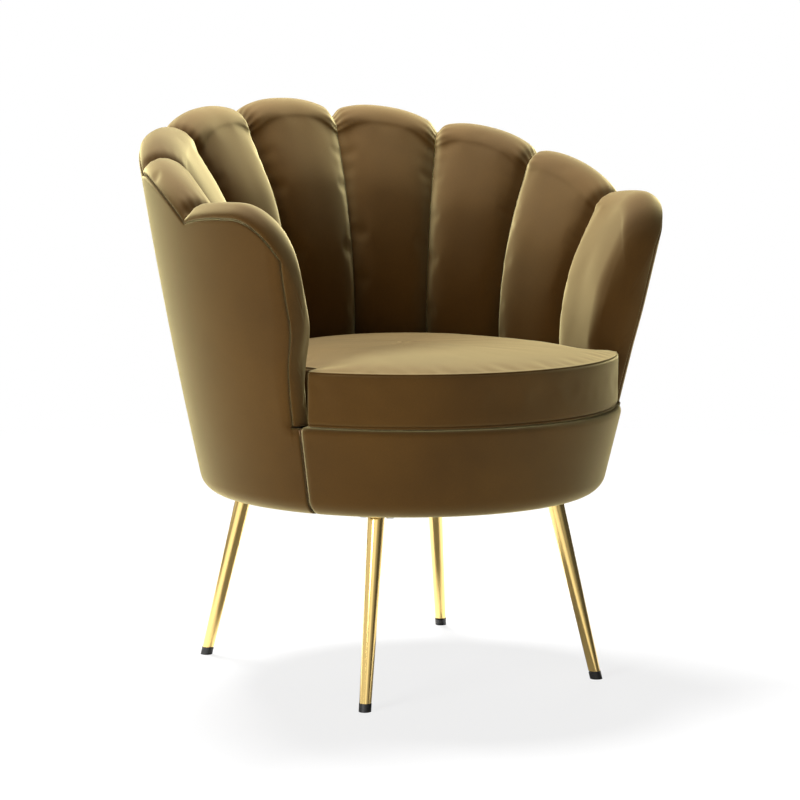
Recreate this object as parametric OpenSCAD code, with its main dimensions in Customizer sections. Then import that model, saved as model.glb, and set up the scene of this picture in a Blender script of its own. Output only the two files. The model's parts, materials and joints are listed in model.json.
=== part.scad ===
// Scalloped tub chair: nine padded channels round a loose seat cushion on four splayed metal legs.
// The chair faces -Y. Angles in the plan run from the middle of the back, positive towards +X.

/* [Tub] */
// Height of the middle channel's top above the floor
back_h = 785; // [700:1:900]
// Height of the arm's top above the floor
arm_h = 662; // [600:1:690]
// Height of the tub's underside above the floor
base_z = 252; // [200:1:300]
// Outer radius of the tub at its underside, before its rounded corner
base_r = 274; // [250:1:300]
// Outer radius of the tub at the top of the back
rim_r = 373; // [330:1:400]
// How far the wall bellies out between its underside and its top
wall_belly = 5; // [0:0.5:15]
// How far the arm fronts swell outwards
arm_swell = 14; // [0:0.5:25]
// Radius of the corner round the underside
corner_r = 22; // [15:0.5:30]

/* [Channels] */
// Thickness of the wall at the back, at seat height
back_depth = 103; // [85:1:120]
// Thickness of the wall at the arm fronts, at seat height
arm_depth = 52; // [48:1:70]
// Thickness of the rolled top at the back
back_roll = 64; // [54:1:72]
// Thickness of the rolled top at the arms
arm_roll = 55; // [48:1:62]
// How far a channel swells inwards between its seams
channel_crown = 17; // [5:0.5:25]
// How far the arms' channels swell inwards
arm_crown = 10; // [3:0.5:20]
// Rise of the middle channel's top over its seams
middle_arch = 23; // [10:1:35]
// Rise of the other channels' tops over their seams, towards the arms
side_arch = 18; // [15:1:45]
// Padding over the top edge of the boards
top_pad = 24; // [18:1:30]
// Rise of the arm's top over its seam
arm_arch = 10; // [4:1:20]
// Gap left for the seam between two channels
seam_gap = 0.8; // [0.4:0.1:2]

/* [Seat] */
// Height of the seat deck above the floor
deck_z = 370; // [330:1:400]
// Height of the cushion's border between its two seams
border_h = 71; // [50:1:90]
// How far the cushion's top is crowned over its upper seam
cushion_crown = 15; // [5:1:30]
// Radius of the cushion's round front
cushion_r = 297; // [280:1:310]
// Gap between the cushion and what it lies between
cushion_gap = 2; // [0.5:0.1:6]
// Thickness of the cushion's cover with its wadding
cushion_cover_t = 6; // [3:0.5:10]

/* [Boards and cloth] */
// Thickness of the upholstery cloth with its wadding
cover_t = 3; // [2:0.5:5]
// Thickness of the outer fibreboard skin
skin_t = 3; // [2:0.5:4]
// Depth of the uprights and of the front rail
rib_depth = 18; // [14:1:22]
// Thickness of the uprights
rib_t = 16; // [10:1:22]
// Thickness of the bent board behind the channels
board_t = 6; // [3:0.5:8]
// Thickness of the plywood rings
ring_t = 18; // [12:1:24]
// Inner radius of the base ring
base_ring_hole_r = 165; // [120:1:180]
// Inner radius of the seat ring
seat_ring_hole_r = 192; // [160:1:196]
// Thickness of the cloth on the straps
deck_cloth_t = 2; // [1:0.5:3]
// Thickness of the pad on the straps
deck_pad_t = 10; // [6:0.1:20]

/* [Legs] */
// Distance from the middle to a front foot, sideways
front_foot_x = 185; // [160:1:210]
// Distance from the tub's middle to the front feet, forwards
front_foot_y = 205; // [180:1:230]
// Distance from the middle to a rear foot, sideways
rear_foot_x = 198; // [160:1:215]
// Distance from the tub's middle to the rear feet, backwards
rear_foot_y = 208; // [180:1:230]
// How far a foot stands out from the top of its leg, each way
splay = 43; // [20:1:50]
// Diameter of a leg at its top
leg_top_d = 23; // [18:0.5:30]
// Diameter of a leg at its foot
leg_foot_d = 15.5; // [12:0.5:18]
// Wall of the leg's tube
leg_wall = 1.5; // [1:0.1:2.5]
// Height of the foot cap
foot_h = 11; // [8:0.5:16]
// Diameter of the leg's plate
plate_d = 62; // [56:1:70]
// Thickness of the leg's plate
plate_t = 4; // [3:0.5:6]

/* [Fasteners] */
// Diameter of the screws in the leg plates
leg_screw_d = 6; // [4:0.5:8]
// Length of the screws in the leg plates
leg_screw_l = 22; // [18:1:28]
// Diameter of the frame screws' shanks
frame_screw_d = 4; // [3:0.5:5]
// Length of the frame screws
frame_screw_l = 45; // [30:1:60]
// Width of the elastic straps under the seat
strap_w = 50; // [40:1:60]
// Thickness of the elastic straps
strap_t = 1.6; // [1:0.1:2.5]
// Distance between the middles of two straps
strap_spacing = 72; // [65:1:80]
// Clear fit round screws, plugs and the zip
fit = 0.3; // [0.1:0.05:0.6]

/* [Hidden] */

// Colours
velvet = "#7a6236";
ply = "#c9a66b";
fibre = "#8a6a48";
gold = "#cfa24a";
black = "#1c1c1c";
steel = "#9a9da0";
foam = "#e8e2cf";
$fn = 64;

// Angles of the plan
channel_angle = 27;
seam_angles = [13.5, 40.5, 67.5, 94.5];
arm_top_angle = 110;
arm_edge_angle = 123.5;
arm_foot_angle = 121.5;
board_end_angle = 118;
// Heights of the seams' tops, as shares of the way from the arm's top to the back's
seam_rise_shares = [1, 0.8, 0.5, 0];
// Where the arm's front edge starts to round over, as a share of its height over the underside
arm_shoulder_share = 0.71;
// Over the cushion's border the arm's front edge comes forwards within this height
lean_h = 70;
// The channels' inner wall stays upright up to this height over the deck
upright_h = 80;
// The roundness of the tops and of the crowns
arch_power = 2.4;
crown_power = 2.6;
flare_power = 2;
swell_power = 1.5;
// How much of the crown is left at the foot of a channel, and over which height it fades at the top
crown_foot_share = 0.6;
crown_fade_h = 60;
// How far round the arm's front the roll is drawn, of a full quarter
arm_round_share = 0.97;
// Where the arm fronts' uprights stand
block_angle = 113.5;
// The corner where the seat comes out in front of an arm
ear_gap_angle = 0.5;
ear_angle = 1.6;
// Steps in which the padded shapes and the sheets are made
arm_steps = 5;
arc_steps = 3;
rib_rows = 4;
ear_steps = 4;
front_steps = 16;
side_steps = 10;
zip_steps = 3;
channel_steps = 8;
roll_steps = 3;
face_steps = 7;
sheet_rows = 6;
corner_steps = 4;
ring_facets = 128;
cut = 1;

// Small parts of the frame
hem_w = 4;
block_w = 28;
block_h = 30;
frame_screw_head_d = 8;
frame_screw_head_h = 3;
tee_nut_d = 8;
tee_nut_l = 9;
tee_nut_flange_d = 16;
tee_nut_flange_t = 1.5;
leg_screw_head_d = 10.5;
leg_screw_head_h = 3.5;
plate_shift = 14;
foot_lip = 1;
foot_plug_h = 16;
leg_screw_angles = [60, 180, 300];
zip_t = 0.8;
// Heights of the zip on the cushion's border, as shares
zip_height_shares = [0.4, 0.5, 0.6];

// Depths into the wall, from its outer face
skin_d = cover_t + skin_t;
rib_d = skin_d + rib_depth;
board_d = rib_d + board_t;
pad_gap = seam_gap / 2;

// Heights
arm_rise = arm_h - base_z;
seam_top_z = back_h - middle_arch;
seam_foot_z = arm_h - arm_arch;
shoulder_z = base_z + arm_rise * arm_shoulder_share;
lean_z = deck_z + border_h;
ring_z = base_z + cover_t;
ring_top_z = ring_z + ring_t;
channel_foot_z = deck_z - deck_pad_t - deck_cloth_t - pad_gap;
seat_ring_top_z = channel_foot_z - 2 * strap_t;
seat_ring_z = seat_ring_top_z - ring_t;
upright_z = deck_z + upright_h;

// The chair's box is centred on the origin, and the tub's middle lies behind it
back_reach = wall_r(seam_top_z, 0);
front_reach = cushion_r;
middle_y = (front_reach - back_reach) / 2;

function clamp01(x) = min(1, max(0, x));
function mix(a, b, s) = a + (b - a) * s;
function smooth(s) = let (c = clamp01(s)) c * c * (3 - 2 * c);

// Outer radius of the tub's wall at height z and angle t
function wall_r(z, t) =
    let (
        s = (z - base_z) / (back_h - base_z),
        front = smooth((abs(t) - seam_angles[2]) / (board_end_angle - seam_angles[2])),
        high = pow(clamp01((z - base_z) / arm_rise), swell_power)
    )
    mix(base_r, rim_r, s) + wall_belly * 4 * s * (1 - s) + arm_swell * front * high;

// Height of a seam's top
function seam_z(i) = mix(seam_foot_z, seam_top_z, seam_rise_shares[i]);

// Height of the scalloped top at angle t
function arch(s) = 1 - pow(abs(2 * s - 1), arch_power);
function top_z(t) =
    let (a = abs(t))
    a <= seam_angles[0] ? seam_top_z + middle_arch * arch((a / seam_angles[0] + 1) / 2)
    : a <= seam_angles[3] ?
        let (
            i = a <= seam_angles[1] ? 0 : a <= seam_angles[2] ? 1 : 2,
            s = (a - seam_angles[i]) / channel_angle
        )
        mix(seam_z(i), seam_z(i + 1), s) + mix(middle_arch, side_arch, (i + 1) / 3) * arch(s)
    : a <= arm_top_angle ?
        mix(seam_foot_z, arm_h, 1 - pow(1 - (a - seam_angles[3]) / (arm_top_angle - seam_angles[3]), arch_power))
    : shoulder_z + (arm_h - shoulder_z)
        * sqrt(max(0, 1 - pow((a - arm_top_angle) / (arm_edge_angle - arm_top_angle), 2)));

// The arm's front edge leans forwards with height, which turns the stations in front of the last seam
function edge_angle(z) =
    mix(arm_foot_angle, arm_edge_angle, smooth((z - lean_z) / lean_h));
function lean(t, z) =
    let (last = seam_angles[3])
    abs(t) <= last ? t
    : sign(t) * (last + (abs(t) - last) * (edge_angle(z) - last) / (arm_edge_angle - last));

// A point of the wall at angle t, at a depth from its outer face, at height z
function wall_point(t, depth, z) =
    let (u = lean(t, z), r = wall_r(z, u) - depth)
    [r * sin(u), middle_y + r * cos(u), z];

// Sizes that ease from the back towards the arm fronts
function eased(back, arm, t) = mix(back, arm, pow(abs(t) / arm_edge_angle, 2));
function roll_t(t) = eased(back_roll, arm_roll, t);
function seat_r(t) = wall_r(upright_z, t) - eased(back_depth, arm_depth, t);

// Depth of the channels' inner face, without their crown
function face_depth(t, z) =
    let (
        roll_z = top_z(t) - roll_t(t) / 2,
        roll_r = wall_r(roll_z, t) - roll_t(t),
        s = clamp01((z - upright_z) / (roll_z - upright_z))
    )
    wall_r(z, t) - mix(seat_r(t), roll_r, pow(s, flare_power));

// A closed solid between two sheets of points, given as rows of stations
module loft(outer, inner) {
    m = len(outer);
    n = len(outer[0]);
    k = m * n;
    points = concat(
        [for (row = outer) for (p = row) p],
        [for (row = inner) for (p = row) p]
    );
    quads = concat(
        [for (s = [0:m - 2]) for (i = [0:n - 2])
            [s * n + i, s * n + i + 1, (s + 1) * n + i + 1, (s + 1) * n + i]],
        [for (s = [0:m - 2]) for (i = [0:n - 2])
            [k + s * n + i, k + (s + 1) * n + i, k + (s + 1) * n + i + 1, k + s * n + i + 1]],
        [for (i = [0:n - 2]) [i, k + i, k + i + 1, i + 1]],
        [for (i = [0:n - 2]) let (e = (m - 1) * n) [e + i, e + i + 1, k + e + i + 1, k + e + i]],
        [for (s = [0:m - 2]) [s * n, (s + 1) * n, k + (s + 1) * n, k + s * n]],
        [for (s = [0:m - 2]) let (e = n - 1) [s * n + e, k + s * n + e, k + (s + 1) * n + e, (s + 1) * n + e]]
    );
    polyhedron(points, [for (q = quads) each [[q[0], q[2], q[1]], [q[0], q[3], q[2]]]]);
}

// How far a channel stands out between its seams
function crown(s) = 1 - pow(abs(2 * s - 1), crown_power);

// Depth of a channel's face, with its crown
function crown_depth(t) = eased(channel_crown, arm_crown, t);
function padded_depth(t, z, swell) =
    face_depth(t, z)
    + crown_depth(t) * swell * mix(crown_foot_share, 1, clamp01((z - channel_foot_z) / upright_h))
        * sqrt(clamp01((top_z(t) - roll_t(t) / 2 - z) / crown_fade_h));

// The face of a channel, over the rolled top and down to the seat ring
function channel_outer(t, swell) =
    let (
        w = roll_t(t),
        roll_z = top_z(t) - w / 2,
        start = asin(max(-1, 1 - (top_pad - seam_gap) * 2 / w))
    )
    concat(
        [for (i = [-roll_steps:roll_steps]) let (a = 90 + (i < 0 ? 90 - start : 90) * i / roll_steps)
            wall_point(t, w / 2 * (1 - cos(a)), roll_z + w / 2 * sin(a))],
        [for (i = [1:face_steps]) let (z = mix(roll_z, channel_foot_z, i / face_steps))
            wall_point(t, padded_depth(t, z, swell), z)]
    );

// The side of a channel that lies on the bent board
function channel_inner(t) =
    let (
        board_z = top_z(t) - top_pad + seam_gap,
        roll_z = top_z(t) - roll_t(t) / 2 - pad_gap,
        depth = board_d + seam_gap
    )
    concat(
        [for (i = [0:2 * roll_steps]) wall_point(t, depth, mix(board_z, roll_z, i / roll_steps / 2))],
        [for (i = [1:face_steps]) wall_point(t, depth, mix(roll_z, channel_foot_z, i / face_steps))]
    );

// A channel from one seam to the next, filled as far as the boards go
module padded_channel(seam, next_seam, end) {
    gap_angle = pad_gap / base_r * 180 / PI;
    a = seam + gap_angle;
    b = end - gap_angle;
    stations = [for (i = [0:channel_steps]) mix(a, b, i / channel_steps)];
    color(velvet) loft(
        [for (t = stations) channel_outer(t, crown((t - seam) / (next_seam - seam)))],
        [for (t = stations) channel_inner(t)]
    );
}

module channel(i) {
    side = i < 4 ? -1 : 1;
    edges = [seam_angles[0], seam_angles[1], seam_angles[2], seam_angles[3]];
    k = abs(i - 4);
    if (k == 0) padded_channel(-edges[0], edges[0], edges[0]);
    else mirror([side < 0 ? 1 : 0, 0, 0])
        padded_channel(edges[k - 1], k < 4 ? edges[k] : arm_edge_angle, k < 4 ? edges[k] : board_end_angle);
}
module channel_1() { channel(0); }
module channel_2() { channel(1); }
module channel_3() { channel(2); }
module channel_4() { channel(3); }
module channel_5() { channel(4); }
module channel_6() { channel(5); }
module channel_7() { channel(6); }
module channel_8() { channel(7); }
module channel_9() { channel(8); }

// The rounded front of an arm, in front of the boards
function front_inset(p, t) = roll_t(t) / 2 * (1 - sqrt(1 - p * p));
module arm_front() {
    last = seam_angles[3];
    start = board_end_angle + seam_gap / base_r * 180 / PI;
    stations = [for (i = [0:arm_steps]) sin(90 * i / arm_steps) * arm_round_share];
    rows = [for (i = [0:face_steps]) i / face_steps];
    arcs = [for (i = [1:arc_steps]) 90 * i / (arc_steps + 0.5)];
    function turn(p) = mix(start, arm_edge_angle, p);
    function roll_z(t) = max(deck_z + roll_t(t), top_z(t) - roll_t(t) / 2);
    function side(p, inside) =
        let (
            t = turn(p),
            e = front_inset(p, t),
            w = roll_t(t),
            swell = crown((t - last) / (arm_edge_angle - last)),
            z1 = roll_z(t),
            top = max(z1, top_z(t) - e / 2)
        )
        concat(
            [for (s = rows) let (z = mix(deck_z, z1, s))
                wall_point(t, inside ? padded_depth(t, z, swell) - e : e, z)],
            [for (a = arcs)
                wall_point(t, w / 2 + (w / 2 - e) * cos(a) * (inside ? 1 : -1), z1 + (top - z1) * sin(a))]
        );
    color(velvet) loft([for (p = stations) side(p, false)], [for (p = stations) side(p, true)]);
}
module arm_front_right() { arm_front(); }
module arm_front_left() { mirror([1, 0, 0]) arm_front(); }

// Stations of the sheets that follow the wall, with one at each seam
sheet_edges = concat(
    [-board_end_angle],
    [for (i = [3:-1:0]) -seam_angles[i]],
    seam_angles,
    [board_end_angle]
);
sheet_angles = concat(
    [for (i = [0:len(sheet_edges) - 2]) for (j = [0:channel_steps - 1])
        mix(sheet_edges[i], sheet_edges[i + 1], j / channel_steps)],
    [board_end_angle]
);

// Below the deck a sheet runs on to the front edge of the arm
function run_on(t, z) =
    let (last = seam_angles[3])
    z >= deck_z || abs(t) <= last ? t
    : sign(t) * (last + (abs(t) - last) * (arm_edge_angle - last) / (board_end_angle - last));
function sheet_zs(t, foot) =
    let (top = top_z(t) - top_pad)
    concat(
        foot < deck_z ? [foot, deck_z - cover_t] : [],
        [for (i = [0:sheet_rows]) mix(max(foot, deck_z), top, i / sheet_rows)]
    );
function sheet_column(t, depth, foot) =
    [for (z = sheet_zs(t, foot)) wall_point(run_on(t, z), depth, z)];

module back_board() {
    color(ply) loft(
        [for (t = sheet_angles) [for (i = [0:sheet_rows])
            wall_point(t, rib_d, mix(seat_ring_top_z, top_z(t) - top_pad, i / sheet_rows))]],
        [for (t = sheet_angles) [for (i = [0:sheet_rows])
            wall_point(t, board_d, mix(seat_ring_top_z, top_z(t) - top_pad, i / sheet_rows))]]
    );
}

module outer_skin() {
    foot = base_z + corner_r;
    color(fibre) loft(
        [for (t = sheet_angles) sheet_column(t, cover_t, foot)],
        [for (t = sheet_angles) sheet_column(t, skin_d, foot)]
    );
}

// The cover's hem and rounded corner, from underneath up to the wall
function corner_column(t, inset) =
    let (r = corner_r - inset)
    concat(
        [wall_point(run_on(t, 0), corner_r + hem_w, base_z + inset)],
        [for (i = [0:corner_steps - 1]) let (a = 90 * i / corner_steps, z = base_z + corner_r - r * cos(a))
            wall_point(run_on(t, 0), corner_r - r * sin(a), z)]
    );
module outer_cover() {
    foot = base_z + corner_r;
    color(velvet) loft(
        [for (t = sheet_angles) concat(corner_column(t, 0), sheet_column(t, 0, foot))],
        [for (t = sheet_angles) concat(corner_column(t, cover_t), sheet_column(t, cover_t, foot))]
    );
}

// What is turned about the tub's middle, between two angles across the front
module across_front(edge) {
    translate([0, middle_y, 0]) rotate(edge - 270) rotate_extrude(angle = 360 - 2 * edge) children();
}
front_edge = arm_foot_angle;
rail_edge = block_angle + rib_t / base_r * 180 / PI;

module front_rail() {
    zs = [ring_top_z, (ring_top_z + deck_z) / 2, deck_z - cover_t];
    color(ply) across_front(rail_edge) polygon(concat(
        [for (z = zs) [wall_r(z, 180) - skin_d - seam_gap, z]],
        [for (i = [2:-1:0]) [wall_r(zs[i], 180) - rib_d, zs[i]]]
    ));
}

module front_cover() {
    zs = [for (i = [0:corner_steps]) mix(base_z + corner_r, deck_z, i / corner_steps)];
    arcs = [for (i = [0:corner_steps]) 90 * i / corner_steps];
    foot_r = wall_r(base_z, 180);
    // The wall's own lean is added to the rounded corner
    function bend(r, a, fill) = let (z = base_z + corner_r - r * cos(a))
        [wall_r(z, 180) - corner_r + (r - fill) * sin(a), z];
    color(velvet) across_front(front_edge) polygon(concat(
        [[foot_r - corner_r - hem_w, base_z]],
        [for (a = arcs) bend(corner_r, a, 0)],
        [for (i = [1:corner_steps]) [wall_r(zs[i], 180), zs[i]]],
        [[wall_r(deck_z, 180) - rib_d, deck_z], [wall_r(deck_z, 180) - rib_d, deck_z - cover_t]],
        [[wall_r(deck_z - cover_t, 180) - skin_d, deck_z - cover_t]],
        [for (i = [corner_steps - 1:-1:1]) [wall_r(zs[i], 180) - skin_d, zs[i]]],
        [for (i = [corner_steps:-1:0]) bend(corner_r - cover_t, arcs[i], skin_d - cover_t)],
        [[foot_r - corner_r - hem_w, base_z + cover_t]]
    ));
}

module about_middle() {
    translate([0, middle_y, 0]) children();
}

module dust_cover() {
    color(black) difference() {
        about_middle() translate([0, 0, base_z])
            cylinder(r = wall_r(base_z, 0) - corner_r - hem_w - pad_gap, h = cover_t, $fn = ring_facets);
        leg_screw_holes(base_z, cover_t);
    }
}

module base_ring() {
    foot_r = wall_r(ring_z, 0) - corner_r;
    top_r = wall_r(ring_top_z, 0) - skin_d - cover_t;
    color(ply) difference() {
        about_middle() rotate_extrude($fn = ring_facets) polygon([
            [base_ring_hole_r, ring_z], [foot_r, ring_z], [top_r, ring_top_z], [base_ring_hole_r, ring_top_z]
        ]);
        leg_screw_holes(ring_z, ring_t, tee_nut_d);
        frame_screw_places() cylinder(d = frame_screw_d + fit, h = 2 * (ring_t + cut), center = true);
        frame_screw_places() cylinder(d = frame_screw_head_d + fit, h = frame_screw_head_h * 2, center = true);
    }
}

module seat_ring() {
    foot_r = wall_r(seat_ring_z, 0) - rib_d - pad_gap;
    top_r = wall_r(seat_ring_top_z, 0) - rib_d - pad_gap;
    color(ply) about_middle() rotate_extrude($fn = ring_facets) polygon([
        [seat_ring_hole_r, seat_ring_z], [foot_r, seat_ring_z],
        [top_r, seat_ring_top_z], [seat_ring_hole_r, seat_ring_top_z]
    ]);
}

// Uprights stand behind the seams and at the arm fronts
rib_angles = concat(
    [-block_angle],
    [for (i = [3:-1:0]) -seam_angles[i]],
    seam_angles,
    [block_angle]
);
module rib(i) {
    t = rib_angles[i];
    half_angle = rib_t / base_r * 90 / PI;
    top = min(top_z(abs(t) + half_angle), top_z(t)) - top_pad;
    rows = [for (s = [0:rib_rows]) mix(ring_top_z, top, s / rib_rows)];
    color(ply) about_middle() rotate(90 - t) rotate([90, 0, 0])
        linear_extrude(height = rib_t, center = true) polygon(concat(
            [for (z = rows) [wall_r(z, t) - skin_d - seam_gap, z]],
            [for (s = [rib_rows:-1:0]) [wall_r(rows[s], t) - rib_d + pad_gap, rows[s]]]
        ));
}
module rib_1() { rib(0); }
module rib_2() { rib(1); }
module rib_3() { rib(2); }
module rib_4() { rib(3); }
module rib_5() { rib(4); }
module rib_6() { rib(5); }
module rib_7() { rib(6); }
module rib_8() { rib(7); }
module rib_9() { rib(8); }
module rib_10() { rib(9); }

// Glue blocks hold the uprights' feet, but not where the rear legs are bolted
block_ribs = [0, 1, 2, 4, 5, 7, 8, 9];
module at_blocks() {
    for (i = block_ribs) let (t = rib_angles[i], r = wall_r(ring_top_z, t) - rib_d - block_w / 2)
        about_middle() rotate(90 - t) translate([r - pad_gap, 0, 0]) children();
}
module frame_screw_places() {
    at_blocks() translate([0, 0, ring_z]) children();
}
module glue_blocks() {
    color(ply) difference() {
        at_blocks() translate([-block_w / 2, -block_w / 2, ring_top_z]) cube([block_w, block_w, block_h]);
        frame_screw_places() cylinder(d = frame_screw_d + fit, h = frame_screw_l);
    }
}
module frame_screws() {
    color(steel) frame_screw_places() {
        cylinder(d = frame_screw_head_d, h = frame_screw_head_h);
        cylinder(d = frame_screw_d, h = frame_screw_l);
    }
}

// Elastic straps are stretched over the seat ring, first front to back and then across.
// Their places are counted in spacings from the middle.
strap_places = [-1.5, -0.5, 0.5, 1.5];
strap_r = wall_r(seat_ring_top_z, 0) - board_d - cover_t;
module straps(z) {
    for (i = strap_places) let (x = i * strap_spacing, reach = sqrt(pow(strap_r, 2) - pow(abs(x) + strap_w / 2, 2)))
        translate([x - strap_w / 2, -reach, z]) cube([strap_w, 2 * reach, strap_t]);
}
module seat_straps() {
    color(black) about_middle() straps(seat_ring_top_z);
}
module cross_straps() {
    color(black) about_middle() rotate(90) straps(seat_ring_top_z + strap_t);
}

// Plan of the seat: inside the channels it follows them, and in front of the arms it is round
function seat_plan_r(t, gap) =
    let (
        a = abs(t),
        inner = seat_r(min(a, arm_foot_angle)) - crown_depth(min(a, arm_foot_angle)),
        open = smooth((a - arm_foot_angle - ear_gap_angle) / ear_angle)
    )
    mix(inner, cushion_r, open) - gap;
plan_angles = concat(
    [for (i = [-side_steps:side_steps]) i * arm_foot_angle / side_steps],
    [for (i = [1:ear_steps]) arm_foot_angle + ear_gap_angle + ear_angle * (i - 1) / (ear_steps - 1)],
    [for (i = [1:front_steps]) let (e = arm_foot_angle + ear_gap_angle + ear_angle)
        e + (360 - 2 * e) * i / (front_steps + 1)],
    [for (i = [ear_steps:-1:1]) 360 - arm_foot_angle - ear_gap_angle - ear_angle * (i - 1) / (ear_steps - 1)]
);
function wrapped(t) = t > 180 ? t - 360 : t;
function plan_point(t, r) = [r * sin(t), middle_y + r * cos(t)];

module deck_shape(gap) {
    rail_r = wall_r(seat_ring_top_z, 180) - rib_d - pad_gap;
    polygon([for (t = plan_angles) plan_point(t, min(seat_plan_r(wrapped(t), gap), rail_r - pad_gap))]);
}
module deck_cloth() {
    color(black) translate([0, 0, channel_foot_z]) linear_extrude(height = deck_cloth_t)
        deck_shape(cushion_gap);
}
module deck_pad() {
    color(foam) translate([0, 0, channel_foot_z + deck_cloth_t]) linear_extrude(height = deck_pad_t)
        deck_shape(cushion_gap);
}

// The cushion's outline in height: share of the plan's radius against share of the height
bottom_shares = [[0.5, 0], [0.93, 0]];
border_shares = [[0, 0.972], [0.2, 0.99], [0.5, 1], [0.8, 0.99], [1, 0.972]];
top_shares = [[0.93, 0.28], [0.8, 0.62], [0.55, 0.88], [0.28, 0.98]];
cushion_z = deck_z + pad_gap;
function cushion_ring(share, z, inset) =
    [for (t = plan_angles) let (p = plan_point(t, share * (seat_plan_r(wrapped(t), cushion_gap) - inset)))
        [p[0], p[1], z]];
module cushion_form(inset) {
    low = cushion_z + inset;
    high = cushion_z + border_h - inset;
    rings = concat(
        [for (b = bottom_shares) cushion_ring(b[0], low, inset)],
        [for (b = border_shares) cushion_ring(b[1], mix(low + cover_t / 2, high, b[0]), inset)],
        [for (b = top_shares) cushion_ring(b[0], high + cushion_crown * b[1], inset)]
    );
    n = len(plan_angles);
    m = len(rings);
    points = concat(
        [[0, middle_y, low]],
        [for (ring = rings) each ring],
        [[0, middle_y, high + cushion_crown]]
    );
    function at(k, i) = 1 + k * n + i % n;
    polyhedron(points, concat(
        [for (i = [0:n - 1]) [0, at(0, i + 1), at(0, i)]],
        [for (k = [0:m - 2]) for (i = [0:n - 1])
            each [[at(k, i), at(k + 1, i + 1), at(k + 1, i)], [at(k, i), at(k, i + 1), at(k + 1, i + 1)]]],
        [for (i = [0:n - 1]) [m * n + 1, at(m - 1, i), at(m - 1, i + 1)]]
    ));
}
module seat_cushion() {
    color(velvet) difference() {
        cushion_form(0);
        cushion_form(cushion_cover_t);
    }
}
module cushion_core() {
    color(foam) cushion_form(cushion_cover_t + pad_gap);
}

// The zip lies along the border at the back
module cushion_zip() {
    angles = [for (i = [-zip_steps:zip_steps]) i * arm_foot_angle / side_steps];
    function zip_point(t, s, out) =
        let (
            share = lookup(s, border_shares),
            p = plan_point(t, share * seat_plan_r(t, cushion_gap) + out),
            z = mix(cushion_z + cover_t / 2, cushion_z + border_h, s)
        )
        [p[0], p[1], z];
    color(black) loft(
        [for (t = angles) [for (s = zip_height_shares) zip_point(t, s, fit + zip_t)]],
        [for (t = angles) [for (s = zip_height_shares) zip_point(t, s, fit)]]
    );
}

// Legs, counted from the front left
module at_leg(i) {
    front = i < 2;
    side = i % 2 == 0 ? -1 : 1;
    foot = front ? [side * front_foot_x, middle_y - front_foot_y] : [side * rear_foot_x, middle_y + rear_foot_y];
    away = front ? [side, -1] : [side, 1];
    translate([foot[0], foot[1], 0]) rotate(atan2(away[1], away[0])) children();
}
leg_slope = atan(splay * sqrt(2) / (base_z - plate_t));
leg_top_offset = splay * sqrt(2);
module along_leg() {
    rotate([0, -leg_slope, 0]) children();
}
leg_length = base_z / cos(leg_slope);
leg_screw_circle = plate_d / 2 - leg_screw_head_d;
module at_plate() {
    translate([-leg_top_offset - plate_shift, 0, 0]) children();
}
module at_leg_screws() {
    at_plate() for (a = leg_screw_angles) rotate(a) translate([leg_screw_circle, 0, 0]) children();
}
module leg_screw_holes(z, h, d = leg_screw_d + 2 * fit) {
    for (i = [0:3]) at_leg(i) at_leg_screws() translate([0, 0, z - cut]) cylinder(d = d + fit, h = h + 2 * cut);
}
module leg(i) {
    color(gold) at_leg(i) {
        difference() {
            intersection() {
                along_leg() cylinder(d1 = leg_foot_d, d2 = leg_top_d, h = leg_length);
                translate([-base_z, -base_z, foot_h]) cube([2 * base_z, 2 * base_z, base_z - plate_t - foot_h]);
            }
            along_leg() cylinder(d1 = leg_foot_d - 2 * leg_wall, d2 = leg_top_d - 2 * leg_wall, h = leg_length);
        }
        difference() {
            at_plate() translate([0, 0, base_z - plate_t]) cylinder(d = plate_d, h = plate_t);
            at_leg_screws() translate([0, 0, base_z - plate_t - cut])
                cylinder(d = leg_screw_d + fit, h = plate_t + 2 * cut);
        }
    }
}
module leg_front_left() { leg(0); }
module leg_front_right() { leg(1); }
module leg_rear_left() { leg(2); }
module leg_rear_right() { leg(3); }

module foot(i) {
    color(black) at_leg(i) union() {
        intersection() {
            along_leg() cylinder(d = leg_foot_d + foot_lip, h = foot_h * 2, center = true);
            translate([-base_z, -base_z, 0]) cube([2 * base_z, 2 * base_z, foot_h]);
        }
        intersection() {
            along_leg() cylinder(d = leg_foot_d - 2 * leg_wall - fit, h = foot_h + foot_plug_h);
            translate([-base_z, -base_z, foot_h / 2]) cube([2 * base_z, 2 * base_z, foot_h + foot_plug_h]);
        }
    }
}
module foot_front_left() { foot(0); }
module foot_front_right() { foot(1); }
module foot_rear_left() { foot(2); }
module foot_rear_right() { foot(3); }

module leg_screws() {
    color(steel) for (i = [0:3]) at_leg(i) at_leg_screws() translate([0, 0, base_z - plate_t]) {
        translate([0, 0, -leg_screw_head_h]) cylinder(d = leg_screw_head_d, h = leg_screw_head_h);
        cylinder(d = leg_screw_d, h = leg_screw_l);
    }
}
module tee_nuts() {
    color(steel) for (i = [0:3]) at_leg(i) at_leg_screws() translate([0, 0, ring_top_z]) difference() {
        union() {
            cylinder(d = tee_nut_flange_d, h = tee_nut_flange_t);
            translate([0, 0, -tee_nut_l]) cylinder(d = tee_nut_d, h = tee_nut_l);
        }
        translate([0, 0, -tee_nut_l - cut]) cylinder(d = leg_screw_d + fit / 2, h = tee_nut_l + tee_nut_flange_t + 2 * cut);
    }
}

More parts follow.
